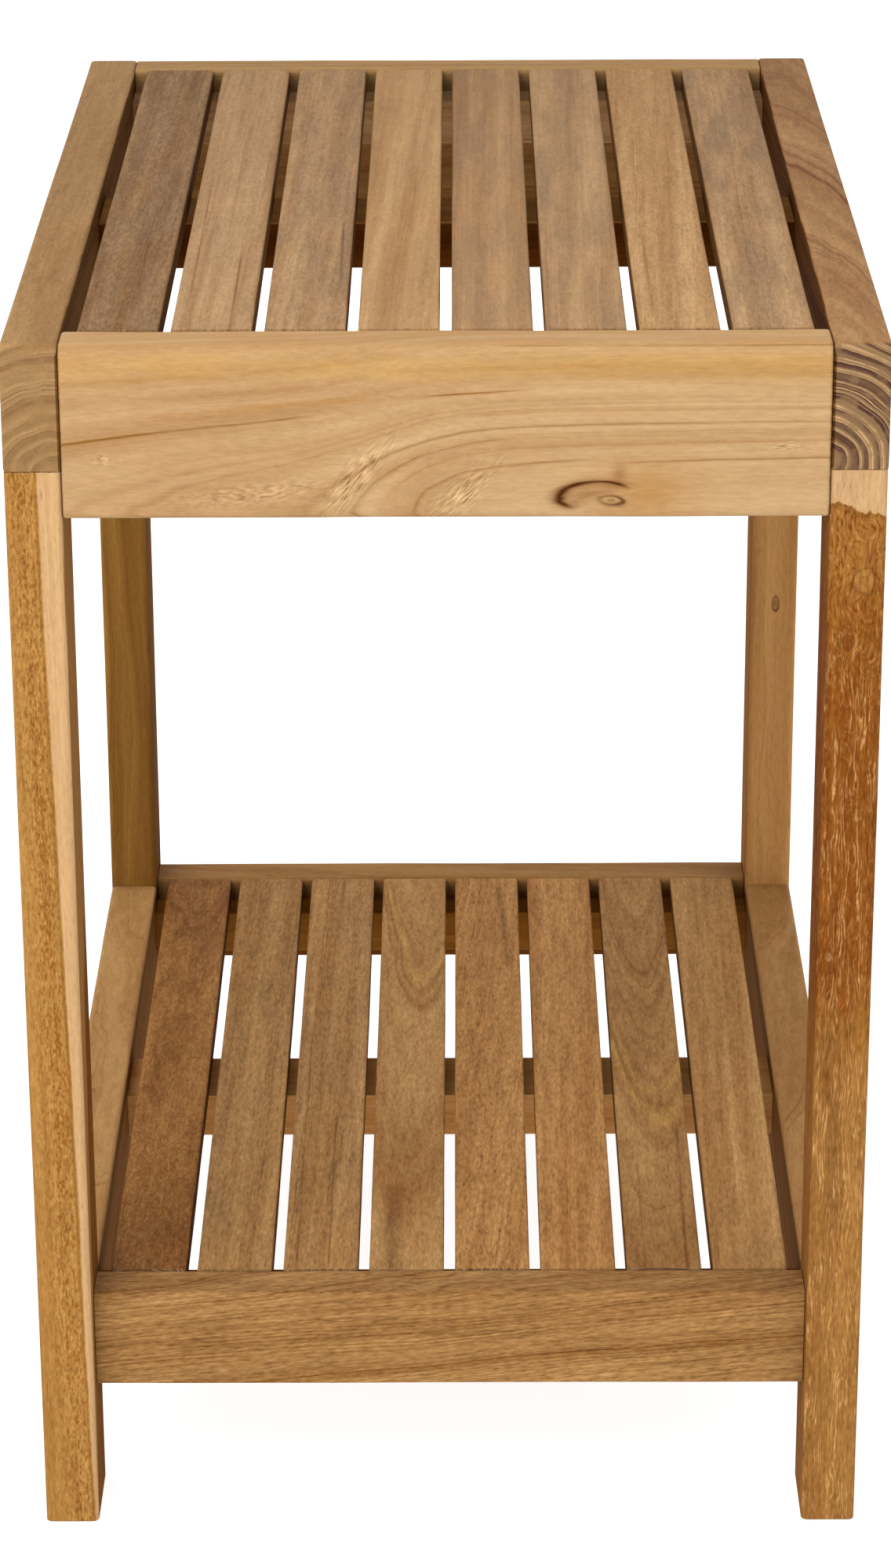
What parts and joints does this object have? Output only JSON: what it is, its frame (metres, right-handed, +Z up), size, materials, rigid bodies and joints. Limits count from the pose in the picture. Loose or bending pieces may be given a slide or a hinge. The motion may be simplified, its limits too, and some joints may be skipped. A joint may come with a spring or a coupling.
{
  "type": "shower bench",
  "caption": "Slatted teak shower bench with a lower shelf; rails lie on the legs, joined by tenons and dowels, and the slats are screwed from below.",
  "frame": {"origin": "on the floor, under the middle of the seat", "axes": "+X runs across the short end, +Y runs along the slats from the front end to the back end, +Z is up"},
  "size_m": [0.305, 0.457, 0.457],
  "materials": {
    "teak_frame": "oiled teak, satin",
    "teak_seat_slats": "sanded teak, matt, each slat a little different in tone",
    "teak_shelf_slats": "sanded teak, matt, warm brown",
    "teak_supports": "sawn and sanded teak",
    "dowel_wood": "plain turned hardwood",
    "stainless_steel": "stainless steel, satin"
  },
  "bodies": {
    "root": {"seat_side_rail_left": "teak_frame", "seat_side_rail_right": "teak_frame", "seat_end_rail_front": "teak_frame", "seat_end_rail_back": "teak_frame", "leg_front_left": "teak_frame", "leg_front_right": "teak_frame", "leg_back_left": "teak_frame", "leg_back_right": "teak_frame", "shelf_side_rail_left": "teak_frame", "shelf_side_rail_right": "teak_frame", "shelf_end_rail_front": "teak_frame", "shelf_end_rail_back": "teak_frame", "seat_slat_1": "teak_seat_slats", "seat_slat_2": "teak_seat_slats", "seat_slat_3": "teak_seat_slats", "seat_slat_4": "teak_seat_slats", "seat_slat_5": "teak_seat_slats", "seat_slat_6": "teak_seat_slats", "seat_slat_7": "teak_seat_slats", "seat_slat_8": "teak_seat_slats", "shelf_slat_1": "teak_shelf_slats", "shelf_slat_2": "teak_shelf_slats", "shelf_slat_3": "teak_shelf_slats", "shelf_slat_4": "teak_shelf_slats", "shelf_slat_5": "teak_shelf_slats", "shelf_slat_6": "teak_shelf_slats", "shelf_slat_7": "teak_shelf_slats", "shelf_slat_8": "teak_shelf_slats", "seat_cleat_front": "teak_supports", "seat_cleat_back": "teak_supports", "seat_cross_bar": "teak_supports", "shelf_cleat_front": "teak_supports", "shelf_cleat_back": "teak_supports", "shelf_cross_bar": "teak_supports", "seat_frame_dowels": "dowel_wood", "shelf_frame_dowels": "dowel_wood", "seat_slat_screws": "stainless_steel", "shelf_slat_screws": "stainless_steel", "cleat_screws": "stainless_steel"}
  },
  "joints": []
}
